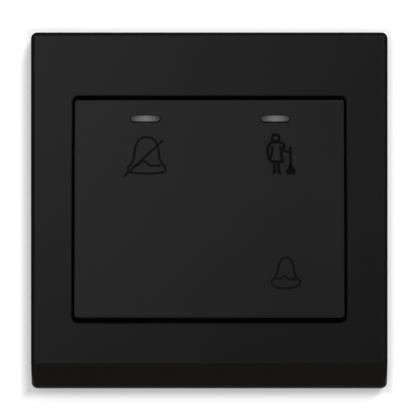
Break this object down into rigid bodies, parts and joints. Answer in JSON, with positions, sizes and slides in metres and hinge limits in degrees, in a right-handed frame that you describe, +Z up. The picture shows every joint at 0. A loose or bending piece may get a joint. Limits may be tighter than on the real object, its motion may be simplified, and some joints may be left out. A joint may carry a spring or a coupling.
{
  "type": "doorbell push button",
  "caption": "Square black wall plate with one large rocking bell push, oblong lamp windows for do-not-disturb and room service, and a switch housing that sits in a flush wall box.",
  "frame": {"origin": "centre of the mounting base's back face, on the wall plane", "axes": "+X to the right seen from the front, +Y into the wall, +Z up; the front faces -Y"},
  "size_m": [0.086, 0.0337, 0.086],
  "materials": {
    "frame_plastic": "satin black, finely moulded",
    "button_plastic": "satin black, finely moulded",
    "clip_plastic": "satin black",
    "lens_plastic": "frosted grey light guide",
    "base_plastic": "satin black moulding",
    "housing_plastic": "light grey moulding",
    "cover_plastic": "light grey moulding",
    "screw_steel": "zinc plated",
    "board_laminate": "green solder mask",
    "lamp_epoxy": "milky epoxy",
    "resistor_body": "lacquered",
    "diode_body": "moulded black",
    "solder": "bright solder",
    "plunger_plastic": "natural acetal",
    "contact_brass": "stamped strip",
    "contact_silver": "silver contact face",
    "spring_steel": "drawn wire",
    "terminal_brass": "machined"
  },
  "bodies": {
    "base": {"mounting_base": "base_plastic", "rear_housing": "housing_plastic", "switch_cover": "cover_plastic", "housing_screws": "screw_steel", "circuit_board": "board_laminate", "disturb_led": "lamp_epoxy", "service_led": "lamp_epoxy", "dropper_resistors": "resistor_body", "blocking_diodes": "diode_body", "solder_joints": "solder", "bell_contact_left": "contact_brass", "bell_contact_right": "contact_brass", "fixed_rivets": "contact_silver", "return_spring": "spring_steel", "disturb_strip": "contact_brass", "lamp_common_strip": "contact_brass", "service_strip": "contact_brass", "terminal_blocks": "terminal_brass"},
    "cover": {"front_frame": "frame_plastic", "snap_hooks": "clip_plastic"},
    "button": {"bell_button": "button_plastic", "disturb_lens": "lens_plastic", "service_lens": "lens_plastic"},
    "plunger": {"plunger": "plunger_plastic", "bridge_contact": "contact_brass", "bridge_rivets": "contact_silver"},
    "terminal_screw_1": {"terminal_screw_1": "screw_steel"},
    "terminal_screw_2": {"terminal_screw_2": "screw_steel"},
    "terminal_screw_3": {"terminal_screw_3": "screw_steel"},
    "terminal_screw_4": {"terminal_screw_4": "screw_steel"},
    "terminal_screw_5": {"terminal_screw_5": "screw_steel"}
  },
  "joints": [
    {"name": "cover_release", "type": "slide", "parent": "base", "child": "cover", "axis": [0, -1, 0], "range_m": [0, 0.015], "deforming": ["snap_hooks"]},
    {"name": "button_press", "type": "hinge", "parent": "cover", "child": "button", "pos_m": [0, -0.0046, 0.014], "axis": [1, 0, 0], "range_deg": [0, 3], "stiffness_Nm_per_rad": 0.14, "springref_deg": -12.03},
    {"name": "plunger_travel", "type": "slide", "parent": "base", "child": "plunger", "axis": [0, 1, 0], "range_m": [0, 0.00105], "deforming": ["return_spring"]},
    {"name": "terminal_screw_1_clamp", "type": "slide", "parent": "base", "child": "terminal_screw_1", "axis": [0, -1, 0], "range_m": [0, 0.0024]},
    {"name": "terminal_screw_2_clamp", "type": "slide", "parent": "base", "child": "terminal_screw_2", "axis": [0, -1, 0], "range_m": [0, 0.0024]},
    {"name": "terminal_screw_3_clamp", "type": "slide", "parent": "base", "child": "terminal_screw_3", "axis": [0, -1, 0], "range_m": [0, 0.0024]},
    {"name": "terminal_screw_4_clamp", "type": "slide", "parent": "base", "child": "terminal_screw_4", "axis": [0, -1, 0], "range_m": [0, 0.0024]},
    {"name": "terminal_screw_5_clamp", "type": "slide", "parent": "base", "child": "terminal_screw_5", "axis": [0, -1, 0], "range_m": [0, 0.0024]}
  ],
  "couplings": [
    {"joint": "plunger_travel", "follows": "button_press", "m_per_rad": 0.02}
  ]
}
